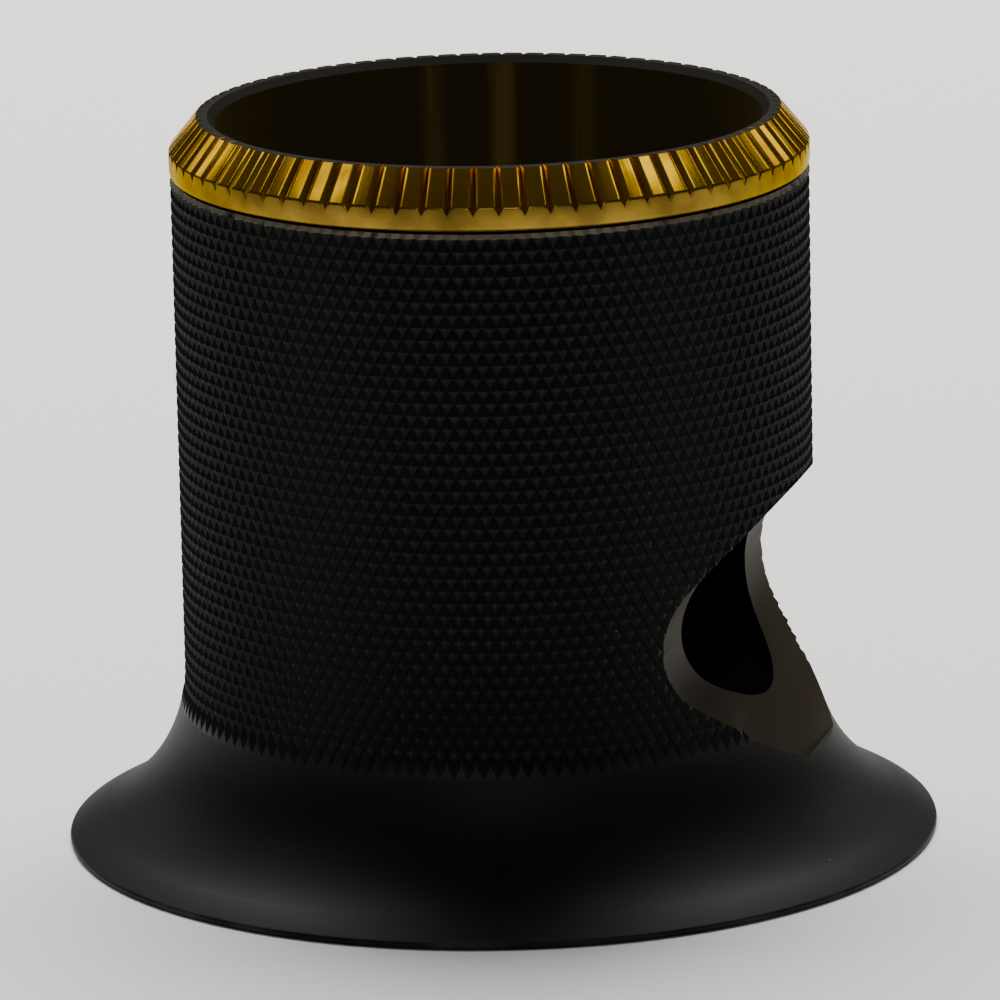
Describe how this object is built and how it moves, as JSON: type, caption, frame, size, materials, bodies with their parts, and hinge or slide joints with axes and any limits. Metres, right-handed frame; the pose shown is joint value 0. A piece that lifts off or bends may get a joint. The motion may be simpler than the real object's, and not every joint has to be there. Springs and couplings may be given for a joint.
{
  "type": "watchmaker eye loupe",
  "caption": "Watchmaker's eye loupe: knurled black barrel flared into an eyecup, side vent, convex lens held by a serrated brass screw ring.",
  "frame": {"origin": "centre of the plane that the eyecup's rim rests on, on the optical axis", "axes": "+Z along the optical axis from the eye towards the lens and the screw ring, +X towards the vent"},
  "size_m": [0.038, 0.038, 0.032],
  "materials": {
    "black_anodised_aluminium": "black anodised, fine diamond knurl on the barrel, satin on the flare",
    "optical_glass": "polished",
    "spring_steel": "blackened satin",
    "turned_brass": "bright turned, serrated bevel, blackened bore"
  },
  "bodies": {
    "eyecup": {"eyecup_body": "black_anodised_aluminium"},
    "lens_pack": {"lens": "optical_glass", "lens_slip_ring": "spring_steel"},
    "screw_ring": {"lens_screw_ring": "turned_brass"}
  },
  "joints": [
    {"name": "lens_rise", "type": "slide", "parent": "eyecup", "child": "lens_pack", "axis": [0, 0, 1], "range_m": [0, 0.003]},
    {"name": "ring_unscrew", "type": "hinge", "parent": "lens_pack", "child": "screw_ring", "pos_m": [0, 0, 0.0294], "axis": [0, 0, 1], "range_deg": [0, 1440]}
  ],
  "couplings": [
    {"joint": "lens_rise", "follows": "ring_unscrew", "m_per_rad": 0.00011936}
  ]
}
